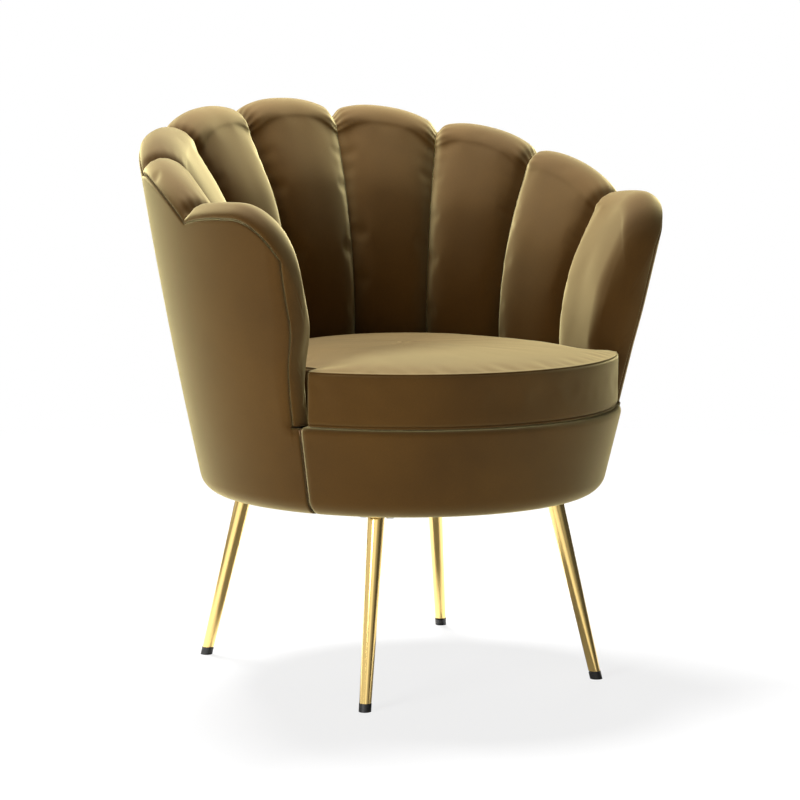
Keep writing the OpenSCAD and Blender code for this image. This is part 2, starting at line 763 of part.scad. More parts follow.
base_ring();
seat_ring();
front_rail();
rib_1();
rib_2();
rib_3();
rib_4();
rib_5();
rib_6();
rib_7();
rib_8();
rib_9();
rib_10();
glue_blocks();
back_board();
outer_skin();
outer_cover();
front_cover();
dust_cover();
channel_1();
channel_2();
channel_3();
channel_4();
channel_5();
channel_6();
channel_7();
channel_8();
channel_9();
arm_front_left();
arm_front_right();
seat_straps();
cross_straps();
deck_cloth();
deck_pad();
leg_front_left();
leg_front_right();
leg_rear_left();
leg_rear_right();
foot_front_left();
foot_front_right();
foot_rear_left();
foot_rear_right();
leg_screws();
tee_nuts();
frame_screws();
seat_cushion();
cushion_core();
cushion_zip();
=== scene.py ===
# %% [markdown]
# # A scalloped tub chair
# The chair is a padded barrel on four thin metal legs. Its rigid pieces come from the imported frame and
# stay where they are. Everything padded or sewn is modelled here: nine velvet channels, the outer
# cover, the front cover, the cushion with its foam and zip, and the deck below it. The frame is loaded
# first, because every later size is read from it or set against it.

# %% Load the frame
import json
import math

import bmesh
import bpy
import numpy as np
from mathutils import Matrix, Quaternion, Vector


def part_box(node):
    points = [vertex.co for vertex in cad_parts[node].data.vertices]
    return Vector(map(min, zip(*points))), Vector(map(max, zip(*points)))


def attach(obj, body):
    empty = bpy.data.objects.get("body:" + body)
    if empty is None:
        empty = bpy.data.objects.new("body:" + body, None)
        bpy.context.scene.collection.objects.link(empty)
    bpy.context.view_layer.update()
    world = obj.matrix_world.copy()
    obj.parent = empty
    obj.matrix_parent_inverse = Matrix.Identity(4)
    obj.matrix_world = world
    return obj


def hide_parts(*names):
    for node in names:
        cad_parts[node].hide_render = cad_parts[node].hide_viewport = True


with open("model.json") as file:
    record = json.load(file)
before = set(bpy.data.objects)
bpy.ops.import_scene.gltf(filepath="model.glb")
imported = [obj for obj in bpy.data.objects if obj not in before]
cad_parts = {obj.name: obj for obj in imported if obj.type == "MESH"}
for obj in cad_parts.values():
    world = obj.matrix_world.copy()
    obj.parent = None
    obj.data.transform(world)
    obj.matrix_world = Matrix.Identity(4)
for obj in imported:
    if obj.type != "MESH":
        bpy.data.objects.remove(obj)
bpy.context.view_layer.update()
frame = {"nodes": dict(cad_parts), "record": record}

MM = 0.001
bpy.context.scene.view_settings.view_transform = "Standard"

# %% [markdown]
# The camera stands where the photograph's did: turned 32 degrees to the chair's left and a little above
# the seat, far away with a long lens, so the barrel's sides hardly converge. A sensor of 36 mm is as
# wide as the picture, so the lens follows from the focal length in pixels.

# %% Camera
PICTURE = 800
FOCAL = 2776.2
AZIMUTH = math.radians(-31.955)
ELEVATION = math.radians(7.194)
EYE = Vector((-2.0134, -3.2559, 0.8527))
ROLL = math.radians(0.2)
camera_data = bpy.data.cameras.new("camera")
camera = bpy.data.objects.new("camera", camera_data)
bpy.context.scene.collection.objects.link(camera)
camera_data.sensor_width = 36
camera_data.lens = FOCAL * camera_data.sensor_width / PICTURE
camera_data.clip_end = 60
back = Vector((
    math.sin(AZIMUTH) * math.cos(ELEVATION),
    -math.cos(AZIMUTH) * math.cos(ELEVATION),
    math.sin(ELEVATION),
))
camera.location = EYE
camera.rotation_mode = "QUATERNION"
camera.rotation_quaternion = (-back).to_track_quat("-Z", "Y") @ Quaternion((0, 0, 1), ROLL)
bpy.context.scene.camera = camera
print("lens in mm:", round(camera_data.lens, 1))

# %% [markdown]
# A few helpers serve every material. One turns a hex colour, as a colour picker shows it, into the
# linear numbers that the shader works with. Another adds a node, sets what it is told and links its
# inputs, so a material reads as a list.

# %% Material helpers
def linear(hex_colour):
    channels = [int(hex_colour[i:i + 2], 16) / 255 for i in (1, 3, 5)]
    return [c / 12.92 if c <= 0.04045 else ((c + 0.055) / 1.055) ** 2.4 for c in channels] + [1]


def add(tree, kind, inputs=(), **settings):
    node = tree.nodes.new(kind)
    for key, value in settings.items():
        setattr(node, key, value)
    for key, value in dict(inputs).items():
        if isinstance(value, bpy.types.NodeSocket):
            tree.links.new(value, node.inputs[key])
        else:
            node.inputs[key].default_value = value
    return node


def times(tree, first, second):
    return add(tree, "ShaderNodeMath", {0: first, 1: second}, operation="MULTIPLY").outputs[0]


def new_material(name):
    material = bpy.data.materials.new(name)
    material.use_nodes = True
    tree = material.node_tree
    tree.nodes.clear()
    shader = add(tree, "ShaderNodeBsdfPrincipled")
    add(tree, "ShaderNodeOutputMaterial", {"Surface": shader.outputs[0]})
    return material, tree, shader


# %% [markdown]
# Velvet is a woven ground with a dense upright pile. Looked at straight on, the eye sees between the
# hairs and the cloth is deep; at a slant it sees their sides and the cloth turns pale. The sheen lobe
# does that. Where hands or the sewing have brushed the pile the tone shifts, so two broad soft noises
# mix a deeper and a lighter camel. The pile itself is 0.1 mm fine, too fine to show, so its grain is
# drawn at about 1 mm.

# %% Velvet
BRUSH_MARK = 160 * MM
PILE_GRAIN = 1.1 * MM


def velvet_material(name, deep, light):
    material, tree, shader = new_material(name)
    place = add(tree, "ShaderNodeTexCoord").outputs["Object"]
    brushed = add(tree, "ShaderNodeTexNoise", {"Vector": place, "Scale": 1 / BRUSH_MARK, "Detail": 3,
                                               "Roughness": 0.55})
    grain = add(tree, "ShaderNodeTexNoise", {"Vector": place, "Scale": 1 / PILE_GRAIN, "Detail": 2})
    spread = add(tree, "ShaderNodeMapRange", {"Value": brushed.outputs["Fac"], "From Min": 0.2,
                                              "From Max": 0.8})
    mixed = add(tree, "ShaderNodeMix", {"Factor": spread.outputs[0]}, data_type="RGBA")
    mixed.inputs["A"].default_value = linear(deep)
    mixed.inputs["B"].default_value = linear(light)
    speck = add(tree, "ShaderNodeMapRange", {"Value": grain.outputs["Fac"], "From Min": 0.25,
                                             "From Max": 0.75, "To Min": 0.86, "To Max": 1.12})
    tone = add(tree, "ShaderNodeVectorMath", {0: mixed.outputs["Result"], 3: speck.outputs[0]},
               operation="SCALE")
    bump = add(tree, "ShaderNodeBump", {"Height": grain.outputs["Fac"], "Strength": 0.25,
                                        "Distance": 0.3 * MM})
    tree.links.new(tone.outputs[0], shader.inputs["Base Color"])
    tree.links.new(bump.outputs[0], shader.inputs["Normal"])
    shader.inputs["Roughness"].default_value = 0.9
    shader.inputs["Specular IOR Level"].default_value = 0.15
    shader.inputs["Sheen Weight"].default_value = 1.0
    shader.inputs["Sheen Roughness"].default_value = 0.42
    shader.inputs["Sheen Tint"].default_value = linear("#f3e4a6")
    return material


velvet = velvet_material("cotton_velvet_camel", "#442c0c", "#573b14")

# %% [markdown]
# Every padded piece follows one rule, the barrel wall: its outer radius grows with height and bellies
# out a little, its top is scalloped, and its inner face flares like a trumpet over the seat. The rule
# is written once, for whole arrays of angles and heights, and gives the same wall as the solids inside.
# Angles run in degrees from the middle of the back.

# %% The barrel's rule
middle_y = (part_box("base_ring")[0].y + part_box("base_ring")[1].y) / 2
base_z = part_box("outer_cover")[0].z
back_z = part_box("channel_5")[1].z
arm_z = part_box("channel_9")[1].z
foot_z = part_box("channel_5")[0].z
deck_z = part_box("front_cover")[1].z
base_r = 274 * MM
rim_r = 373 * MM
wall_belly = 5 * MM
arm_swell = 14 * MM
corner_r = 22 * MM
upright_z = deck_z + 80 * MM
lean_z = deck_z + 71 * MM
lean_h = 70 * MM
back_depth, arm_depth = 103 * MM, 52 * MM
back_roll, arm_roll = 64 * MM, 55 * MM
back_crown, arm_crown = 17 * MM, 10 * MM
middle_arch, side_arch, arm_arch = 23 * MM, 18 * MM, 10 * MM
SEAMS = [13.5, 40.5, 67.5, 94.5]
SEAM_RISES = [1, 0.8, 0.5, 0]
ARM_TOP, ARM_EDGE, ARM_FOOT, BOARD_END = 110, 123.5, 121.5, 118
FRONT_SEAM, SEAM_LEAD, SEAM_LEAD_H = 121, 0.9, 55 * MM
seam_top_z = back_z - middle_arch
seam_foot_z = arm_z - arm_arch
shoulder_z = base_z + (arm_z - base_z) * 0.71


def mix(a, b, s):
    return a + (b - a) * s


def smooth(s):
    s = np.clip(s, 0, 1)
    return s * s * (3 - 2 * s)


def wall_r(z, t):
    s = (z - base_z) / (back_z - base_z)
    front = smooth((np.abs(t) - SEAMS[2]) / (BOARD_END - SEAMS[2]))
    high = np.clip((z - base_z) / (arm_z - base_z), 0, 1) ** 1.5
    return mix(base_r, rim_r, s) + wall_belly * 4 * s * (1 - s) + arm_swell * front * high


def arch(s):
    return 1 - np.abs(2 * s - 1) ** 2.4


def top_z(t):
    a = np.minimum(np.abs(np.asarray(t, float)), ARM_EDGE)
    seam_zs = [mix(seam_foot_z, seam_top_z, rise) for rise in SEAM_RISES]
    z = seam_top_z + middle_arch * arch((a / SEAMS[0] + 1) / 2)
    for i in range(3):
        s = (a - SEAMS[i]) / (SEAMS[i + 1] - SEAMS[i])
        here = mix(seam_zs[i], seam_zs[i + 1], s)
        here = here + mix(middle_arch, side_arch, (i + 1) / 3) * arch(np.clip(s, 0, 1))
        z = np.where(a > SEAMS[i], here, z)
    s = np.clip((a - SEAMS[3]) / (ARM_TOP - SEAMS[3]), 0, 1)
    z = np.where(a > SEAMS[3], mix(seam_foot_z, arm_z, 1 - (1 - s) ** 2.4), z)
    s = np.clip((a - ARM_TOP) / (ARM_EDGE - ARM_TOP), 0, 1)
    return np.where(a > ARM_TOP, shoulder_z + (arm_z - shoulder_z) * np.sqrt(1 - s * s), z)


def edge_angle(z):
    return mix(ARM_FOOT, ARM_EDGE, smooth((z - lean_z) / lean_h))


def lean(t, z):
    share = (edge_angle(z) - SEAMS[3]) / (ARM_EDGE - SEAMS[3])
    return np.where(np.abs(t) <= SEAMS[3], t, np.sign(t) * (SEAMS[3] + (np.abs(t) - SEAMS[3]) * share))


def seam_lead(t, z):
    a = np.abs(t)
    before, after = (a - BOARD_END) / (FRONT_SEAM - BOARD_END), (ARM_EDGE - a) / (ARM_EDGE - FRONT_SEAM)
    near = np.where(a < FRONT_SEAM, before, after)
    return np.sign(t) * smooth(near) * np.exp(-((z - lean_z - lean_h / 2) / SEAM_LEAD_H) ** 2) * SEAM_LEAD


def wall_point(t, depth, z):
    t, depth, z = np.broadcast_arrays(np.asarray(t, float), depth, z)
    u = lean(t, z) + seam_lead(t, z)
    r = wall_r(z, u) - depth
    return np.stack([r * np.sin(np.radians(u)), middle_y + r * np.cos(np.radians(u)), z], -1)


def eased(back_size, arm_size, t):
    return mix(back_size, arm_size, (np.abs(t) / ARM_EDGE) ** 2)


def seat_r(t):
    return wall_r(upright_z, t) - eased(back_depth, arm_depth, t)


def face_depth(t, z):
    roll = eased(back_roll, arm_roll, t)
    roll_z = top_z(t) - roll / 2
    s = np.clip((z - upright_z) / (roll_z - upright_z), 0, 1)
    return wall_r(z, t) - mix(seat_r(t), wall_r(roll_z, t) - roll, s ** 2)


ends = [round(float(wall_r(z, 0)) / MM) for z in (base_z, back_z)]
print("wall radius at the base and the rim in mm:", ends)

# %% [markdown]
# A padded piece is made in two steps. Its sheets of points are closed into a body, and then cloth is
# laid on it and blown up from inside while its seams are held. That gives the fullness between the
# seams and the small gathers beside them, which no formula draws well. The movement is limited, so that
# the pad stays in its place.

# %% Bodies and cloth
def make_piece(name, points, faces, material):
    mesh = bpy.data.meshes.new(name)
    mesh.from_pydata([tuple(p) for p in np.asarray(points).reshape(-1, 3)], [], faces)
    mesh.validate()
    mesh.materials.append(material)
    piece = bpy.data.objects.new(name, mesh)
    bpy.context.scene.collection.objects.link(piece)
    return piece


def close_up(piece, weld=0.02 * MM):
    work = bmesh.new()
    work.from_mesh(piece.data)
    bmesh.ops.remove_doubles(work, verts=work.verts, dist=weld)
    bmesh.ops.dissolve_degenerate(work, edges=work.edges, dist=weld)
    bmesh.ops.triangulate(work, faces=[face for face in work.faces if len(face.verts) > 6])
    bmesh.ops.recalc_face_normals(work, faces=work.faces)
    open_edges = sum(not e.is_manifold for e in work.edges)
    work.to_mesh(piece.data)
    work.free()
    piece.data.polygons.foreach_set("use_smooth", [True] * len(piece.data.polygons))
    if open_edges:
        print(piece.name, "has", open_edges, "open edges")


def close_with_shares(piece, free):
    shares = piece.data.attributes.new("free", "FLOAT", "POINT")
    shares.data.foreach_set("value", free)
    close_up(piece)
    shares = piece.data.attributes["free"]
    free = [point.value for point in shares.data]
    piece.data.attributes.remove(shares)
    return free


def grid_faces(index):
    a, b, c, d = index[:-1, :-1], index[1:, :-1], index[1:, 1:], index[:-1, 1:]
    return np.stack([a, b, c, d], -1).reshape(-1, 4).tolist()


def coordinates(mesh):
    found = np.empty(len(mesh.vertices) * 3)
    mesh.vertices.foreach_get("co", found)
    return found.reshape(-1, 3)


def blow_up(piece, free, pressure, slack, limit, frames=20):
    before = coordinates(piece.data)
    held = piece.vertex_groups.new(name="held")
    for i, share in enumerate(free):
        if share < 1:
            held.add([i], 1 - float(share), "REPLACE")
    cloth = piece.modifiers.new("cloth", "CLOTH")
    settings = cloth.settings
    settings.vertex_group_mass = "held"
    settings.pin_stiffness = 5
    settings.quality = 6
    settings.mass = 0.4
    settings.tension_stiffness = settings.compression_stiffness = 25
    settings.shear_stiffness = 8
    settings.bending_stiffness = 8
    settings.shrink_min = -slack
    settings.use_pressure = True
    settings.uniform_pressure_force = pressure
    settings.effector_weights.gravity = 0
    cloth.collision_settings.use_collision = False
    cloth.point_cache.frame_end = frames
    for step in range(1, frames + 1):
        bpy.context.scene.frame_set(step)
    blown = piece.evaluated_get(bpy.context.evaluated_depsgraph_get()).to_mesh()
    move = (coordinates(blown) - before) * np.asarray(free)[:, None]
    far = np.linalg.norm(move, axis=1)
    move *= (limit * np.tanh(far / limit) / np.maximum(far, 1e-9))[:, None]
    piece.modifiers.remove(cloth)
    piece.vertex_groups.clear()
    bpy.context.scene.frame_set(1)
    piece.data.vertices.foreach_set("co", (before + move).ravel())
    piece.data.update()
    return float(far.max())


def smoother(piece, levels=1):
    finer = piece.modifiers.new("finer", "SUBSURF")
    finer.levels = finer.render_levels = levels


# %% [markdown]
# Each channel is a strip of foam in a velvet pocket. On the real chair the pockets are sewn side by
# side, filled, drawn over the rim of the bent board and stapled behind it. So a channel is drawn as a
# path, from under the outer cover's top edge, over the rolled rim and down the inner face, repeated at
# many angles. Between its seams it is full, and at a seam it dives to the board. The first and last
# channel carry on round the front of the arm and down its outside, to a vertical seam.

# %% Channels
ROLL_ROWS, FACE_ROWS, COLUMNS = 24, 46, 33
TOP_PAD = 24 * MM
BOARD_DEPTH = 30.8 * MM
SEAM_EASE = 0.8 * MM
SEAM_SLIT = math.degrees(0.35 * MM / base_r)
SEAM_DIVE, DIVE_WIDTH = 9 * MM, 7 * MM
TUCKS = [(0, 5 * MM), (2, 1.7 * MM), (6, 0.35 * MM)]
GATHER, GATHER_SPACING, GATHER_REACH = 0.9 * MM, 13 * MM, 16 * MM
room = 3 * MM


def front_rounding(t):
    share = np.clip((np.abs(t) - BOARD_END) / (ARM_EDGE - BOARD_END), 0, 1)
    return 1 - np.sqrt(1 - share ** 2)


def channel_path(t, swell, dive, gather, tucked, bottom_z):
    t, swell, dive, gather, tucked, bottom_z = (np.asarray(v, float)[:, None] for v in
                                                (t, swell, dive, gather, tucked, bottom_z))
    roll = eased(back_roll, arm_roll, t)
    roll_z = top_z(t) - roll / 2
    rounding = front_rounding(t)
    start = np.degrees(np.arcsin(np.clip(1 - (TOP_PAD - SEAM_EASE) * 2 / roll, -1, 1)))
    tuck_turns, tuck_depths = np.array(TUCKS).T
    turns = np.concatenate([start + tuck_turns, mix(start + 11, 180.0, np.linspace(0, 1, ROLL_ROWS))], 1)
    a = np.radians(turns)
    along = np.radians(turns - start) * roll / 2
    crown = eased(back_crown, arm_crown, t)
    ripple = gather * np.sin(2 * np.pi * along / GATHER_SPACING)
    sunk = (dive + ripple) * smooth((turns - start - 4) / 45)
    depth = roll / 2 * (1 - (1 - rounding) * np.cos(a)) + sunk * np.cos(a)
    depth[:, :len(TUCKS)] += tuck_depths * tucked
    z = roll_z + roll / 2 * (1 - rounding / 2) * np.sin(a) - sunk * np.sin(a)
    starting = 0.35 * smooth((turns - 75) / 105)
    depth += starting * crown * swell * (1 - rounding)
    rim = wall_point(t, depth, z)

    face_z = mix(roll_z, bottom_z, np.linspace(0, 1, FACE_ROWS + 1)[1:])
    fullness = crown * mix(0.6, 1, np.clip((face_z - foot_z) / (80 * MM), 0, 1))
    fullness *= mix(0.35, 1, smooth((roll_z - face_z) / (95 * MM)))
    padded = face_depth(t, face_z) + fullness * swell
    padded -= (padded - roll / 2) * rounding
    fade = np.exp(-(roll_z - face_z) / (70 * MM))
    ripple = gather * fade * np.sin(2 * np.pi * ((roll_z - face_z) + roll * np.pi / 2) / GATHER_SPACING)
    return np.concatenate([rim, wall_point(t, padded - dive - ripple, face_z)], 1)


def board_side(t, bottom_z):
    t, bottom_z = np.asarray(t, float)[:, None], np.asarray(bottom_z, float)[:, None]
    under = top_z(t) - TOP_PAD + SEAM_EASE
    over = wall_point(t, np.linspace(7 * MM, BOARD_DEPTH, len(TUCKS) + ROLL_ROWS), under)
    down = mix(under, bottom_z, np.linspace(0, 1, FACE_ROWS + 1)[1:])
    return np.concatenate([over, wall_point(t, BOARD_DEPTH, down)], 1)


def channel_shape(t, first, last):
    share = (np.abs(t) - first) / (last - first)
    swell = 1 - np.abs(2 * share - 1) ** 2.6
    radius = 300 * MM
    near = np.minimum(share, 1 - share if last < ARM_EDGE else share) * np.radians(last - first) * radius
    dive = SEAM_DIVE * np.exp(-(near / DIVE_WIDTH) ** 2) + room * swell
    return swell, dive, GATHER * np.exp(-(near / GATHER_REACH) ** 2)


def spaced(first, last, count):
    x = np.linspace(-1, 1, count)
    return mix(first, last, (1 + x * (1.5 - 0.5 * x * x)) / 2)


def inner_channel(name, first, last):
    t = spaced(first + SEAM_SLIT, last - SEAM_SLIT, COLUMNS)
    if first * last < 0:
        swell, dive, gather = channel_shape(t + last, 0, 2 * last)
    else:
        swell, dive, gather = channel_shape(t, min(abs(first), abs(last)), max(abs(first), abs(last)))
    bottoms = np.full(COLUMNS, foot_z)
    outside = channel_path(t, swell, dive, gather, np.ones(COLUMNS), bottoms)
    inside = board_side(t, bottoms)
    m, n = outside.shape[:2]
    front = np.arange(m * n).reshape(m, n)
    rear = front + m * n
    faces = grid_faces(front) + grid_faces(rear[:, ::-1])
    rim = np.concatenate([front[:, 0], front[-1, 1:], front[-2::-1, -1], front[0, -2::-1]])
    faces += grid_faces(np.stack([rim, rim + m * n], 1))
    piece = make_piece(name, np.concatenate([outside.reshape(-1, 3), inside.reshape(-1, 3)]), faces, velvet)
    free = np.zeros((2, m, n))
    free[0, 1:-1, 3:-1] = 1
    free[0, [1, -2], :] *= 0.5
    return piece, free.ravel()


def arm_channel(name, side):
    first = SEAMS[3] + SEAM_SLIT
    t = np.concatenate([
        mix(first, FRONT_SEAM - 4, (1 - np.cos(np.linspace(0, np.pi / 2, 26))) ** 0.9),
        np.linspace(FRONT_SEAM - 4, FRONT_SEAM, 6)[1:],
    ])
    seam_column = len(t) - 1
    just_past = FRONT_SEAM + np.array([0.12, 0.25, 0.4, 0.58])
    round_start = math.asin((just_past[-1] - BOARD_END) / (ARM_EDGE - BOARD_END))
    round_turns = np.linspace(round_start, np.pi / 2 - 0.04, 11)[1:]
    t = np.concatenate([t, just_past, BOARD_END + (ARM_EDGE - BOARD_END) * np.sin(round_turns)])
    swell, dive, gather = channel_shape(t, SEAMS[3], ARM_EDGE)
    tucked = 1 - smooth((t - FRONT_SEAM) / (just_past[-1] - FRONT_SEAM))
    bottoms = mix(foot_z, deck_z + 0.4 * MM, smooth((t - BOARD_END + 2) / 2))
    shown = channel_path(side * t, swell, dive, gather, tucked, bottoms)
    hidden = board_side(side * t[:seam_column + 1], bottoms[:seam_column + 1])

    # The outside below the roll, in front of the vertical seam
    front_t = t[seam_column:]
    roll = eased(back_roll, arm_roll, front_t)[:, None]
    roll_z = top_z(front_t)[:, None] - roll / 2
    low = mix(bottoms[seam_column:, None], roll_z, np.linspace(0, 1, FACE_ROWS + 1))
    under_cover = 3.2 * MM * tucked[seam_column:, None]
    depth = roll / 2 * front_rounding(front_t)[:, None] + under_cover
    outside = wall_point(side * front_t[:, None], depth, low)

    m, n = shown.shape[:2]
    k = outside.shape[1]
    points = np.concatenate([shown.reshape(-1, 3), hidden.reshape(-1, 3), outside.reshape(-1, 3)])
    front = np.arange(m * n).reshape(m, n)
    rear = (front[:seam_column + 1] + m * n)
    low_part = np.arange(outside.shape[0] * k).reshape(-1, k) + m * n + (seam_column + 1) * n
    joined = np.concatenate([low_part, front[seam_column:]], 1)
    faces = grid_faces(front[:seam_column + 1]) + grid_faces(joined) + grid_faces(rear[:, ::-1])
    faces += grid_faces(np.stack([front[0], rear[0]], 1))
    faces += grid_faces(np.stack([front[:seam_column + 1, 0], rear[:, 0]], 1))
    faces += grid_faces(np.stack([front[:seam_column + 1, -1], rear[:, -1]], 1))
    faces.append(list(joined[0, :k + 1]) + list(rear[-1]))
    faces.append(list(joined[-1]))
    faces.append(list(joined[:, 0]) + list(front[seam_column:, -1][::-1]) + [rear[-1, -1]])
    piece = make_piece(name, points, [list(map(int, f)) for f in faces], velvet)
    free = np.zeros(len(points))
    free[front[1:, 3:-1]] = 1
    free[front[1, :]] *= 0.5
    free[low_part[1:, 4:]] = np.linspace(0, 1, len(low_part))[1:, None]
    return piece, free


channels = []
edges = [-a for a in SEAMS[::-1]] + SEAMS
for number, (first, last) in enumerate(zip(edges[:-1], edges[1:]), start=2):
    channels.append((*inner_channel(f"channel_velvet_{number}", first, last), [f"channel_{number}"]))
channels.append((*arm_channel("channel_velvet_1", -1), ["channel_1", "arm_front_left"]))
channels.append((*arm_channel("channel_velvet_9", 1), ["channel_9", "arm_front_right"]))
for piece, free, nodes in channels:
    free = close_with_shares(piece, free)
    moved = blow_up(piece, free, pressure=2.5, slack=0.004, limit=6 * MM)
    smoother(piece)
    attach(piece, "root")
    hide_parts(*nodes)
    print(piece.name, "points", len(piece.data.vertices), "moved up to", round(moved / MM, 1), "mm")

# %% [markdown]
# The outer cover is one panel of velvet drawn round a sheet of fibreboard, from the hem under the base
# to the rolled rim. Its top edge follows the scallops. At the front it ends in a vertical seam beside
# the arm's rounded edge, and below the seat it steps forward to meet the front cover. Its edges turn
# in, which draws the fine shadow of a seam.

# %% Outer cover
COVER_T = 2.4 * MM
HEM = 4 * MM
EDGE_TURNS = np.array([0, 0.9, 2.0, 4]) * MM
EDGE_DEPTHS = np.array([3.0, 0.9, 0.2, 0]) * MM


def corner_path(steps=10):
    a = np.linspace(0, np.pi / 2, steps + 1)[:-1]
    depth = np.concatenate([[corner_r + HEM + 8 * MM, corner_r + HEM], corner_r * (1 - np.sin(a))])
    return depth, np.concatenate([[base_z, base_z], base_z + corner_r * (1 - np.cos(a))])


def edge_in(distance):
    return np.interp(distance, EDGE_TURNS, EDGE_DEPTHS)


def solidified(piece, thickness):
    wall = piece.modifiers.new("thickness", "SOLIDIFY")
    wall.thickness, wall.offset, wall.use_even_offset = thickness, -1, True


def cover_inset(t, z):
    roll = eased(back_roll, arm_roll, t)
    return np.where(z > deck_z - 1 * MM, roll / 2 * front_rounding(t), 0)


def outer_cover():
    half = np.concatenate([
        np.linspace(0, SEAMS[3], 85), np.linspace(SEAMS[3], BOARD_END, 21)[1:],
        np.linspace(BOARD_END, FRONT_SEAM, 13)[1:-1], FRONT_SEAM - np.array([0.22, 0.1, 0.05, 0]),
    ])
    low_only = np.linspace(FRONT_SEAM, ARM_EDGE, 8)[1:]
    half = np.concatenate([half, low_only])
    t = np.concatenate([-half[:0:-1], half])
    corner_depth, corner_z = corner_path()
    wall_z = np.linspace(base_z + corner_r, deck_z - 1 * MM, 9)
    share = np.concatenate([np.linspace(0, 0.96, 26), [0.975, 0.985, 0.992, 0.996, 1]])
    rows_low = np.concatenate([corner_z, wall_z])
    low_depth = np.concatenate([corner_depth, np.zeros(len(wall_z))])
    top = (top_z(t) - TOP_PAD)[:, None]
    rows_high = mix(deck_z + 1 * MM, top, share)
    z = np.concatenate([np.broadcast_to(rows_low, (len(t), len(rows_low))), rows_high], 1)
    depth = np.broadcast_to(low_depth, (len(t), len(low_depth)))
    depth = np.concatenate([depth, np.zeros_like(rows_high)], 1)
    degree = np.radians(1) * 330 * MM
    past = np.abs(t)[:, None] > FRONT_SEAM
    to_seam = np.where(past, 1, (FRONT_SEAM - np.abs(t)[:, None]) * degree)
    to_end = (ARM_EDGE - np.abs(t)[:, None]) * degree
    depth += edge_in(top - z) + np.where(z > deck_z, edge_in(to_seam), edge_in(to_end))
    depth += cover_inset(t[:, None], z)
    depth += np.where(past & (z < deck_z), edge_in(deck_z - z - 1 * MM), 0)
    t_all = np.broadcast_to(t[:, None], z.shape)
    points = wall_point(t_all, depth, z)
    index = np.arange(z.size).reshape(z.shape)
    faces = np.stack([index[:-1, :-1], index[1:, :-1], index[1:, 1:], index[:-1, 1:]], -1)
    ends = np.maximum(np.abs(t[:-1]), np.abs(t[1:]))[:, None]
    above = np.arange(z.shape[1] - 1)[None, :] >= len(rows_low) - 1
    faces = faces[~((ends > FRONT_SEAM + 0.01) & above)].tolist()
    return make_piece("outer_velvet", points, faces, velvet)


cover = outer_cover()
close_up(cover)
solidified(cover, COVER_T)
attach(cover, "root")
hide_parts("outer_cover")

# %% [markdown]
# The front cover closes the base below the cushion, between the two arms. It is velvet over thin
# wadding on the curved rail. It meets the outer cover at two vertical seams, where both turn in.

# %% Front cover
FRONT_T = 5.2 * MM
TOP_TURN = 9 * MM
SIDE_TURNS = np.array([0, 1, 3, 6, 10]) * MM
SIDE_DEPTHS = np.array([6, 3, 1.2, 0.3, 0]) * MM


def front_cover():
    edge = ARM_FOOT + 0.12
    x = np.linspace(-1, 1, 91)
    reach = 180 - edge
    angle = 180 + reach * x * (1.16 - 0.16 * x * x)
    corner_depth, corner_z = corner_path()
    wall_z = np.linspace(base_z + corner_r, deck_z - TOP_TURN, 14)
    turn = np.radians(np.linspace(0, 90, 9))
    over_z = deck_z - TOP_TURN + TOP_TURN * np.sin(turn[1:])
    over_depth = TOP_TURN * (1 - np.cos(turn[1:]))
    z = np.concatenate([corner_z, wall_z, over_z, [deck_z, deck_z]])
    inward = [TOP_TURN + 6 * MM, TOP_TURN + 12 * MM]
    depth = np.concatenate([corner_depth, np.zeros(len(wall_z)), over_depth, inward])
    to_seam = (reach - np.abs(angle - 180)) * np.radians(1) * 300 * MM
    depth = depth[None, :] + np.interp(to_seam, SIDE_TURNS, SIDE_DEPTHS)[:, None]
    radius = wall_r(z, 180.0)[None, :] - depth
    turned = np.radians(angle)[:, None]
    all_z = np.broadcast_to(z, radius.shape)
    points = np.stack([radius * np.sin(turned), middle_y + radius * np.cos(turned), all_z], -1)
    faces = grid_faces(np.arange(radius.size).reshape(radius.shape))
    return make_piece("front_velvet", points, faces, velvet)


front = front_cover()
close_up(front)
solidified(front, FRONT_T)
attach(front, "root")
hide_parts("front_cover")
print("front cover points:", len(front.data.vertices))

# %% [markdown]
# The loose cushion is T-shaped in plan. Between the arms it follows the channels, and in front of them
# it comes out to the full round of the base. It is cut as two panels and a border. The panels bow
# upwards over the foam, the border bulges, and the two seams pull in between them.

# %% Seat cushion
cushion_low, cushion_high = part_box("seat_cushion")
border_h = 71 * MM
crown_h = cushion_high.z - cushion_low.z - border_h
cushion_r = 300 * MM
cushion_gap = 2 * MM
NOTCH_START, NOTCH = 0.15, 0.9


def plan_radius(t, front_r=cushion_r):
    a = np.abs(t)
    inner = seat_r(np.minimum(a, ARM_FOOT)) - eased(back_crown, arm_crown, np.minimum(a, ARM_FOOT))
    opened = smooth((a - ARM_FOOT - NOTCH_START) / NOTCH)
    return mix(inner, front_r, opened) - cushion_gap


def plan_outline(step, front_r):
    t = np.linspace(-180, 180, 7201)
    r = plan_radius(t, front_r)
    line = np.stack([r * np.sin(np.radians(t)), r * np.cos(np.radians(t))], -1)
    along = np.concatenate([[0], np.cumsum(np.linalg.norm(np.diff(line, axis=0), axis=1))])
    count = int(round(along[-1] / step / 2)) * 2
    spots = np.arange(count) * along[-1] / count
    outline = np.stack([np.interp(spots, along, line[:, i]) for i in (0, 1)], -1)
    for _ in range(4):
        outline = (np.roll(outline, 1, 0) + 2 * outline + np.roll(outline, -1, 0)) / 4
    return outline


SEAM_EDGE = [(8, 0.1), (5.4, 0.9), (4, 2.4), (3.4, 3.6), (5.6, 4.6)]
BORDER_ROWS, PANEL_RINGS = 17, 32
OUTLINE_STEP, ROUNDING_PASSES = 4.5 * MM, 500


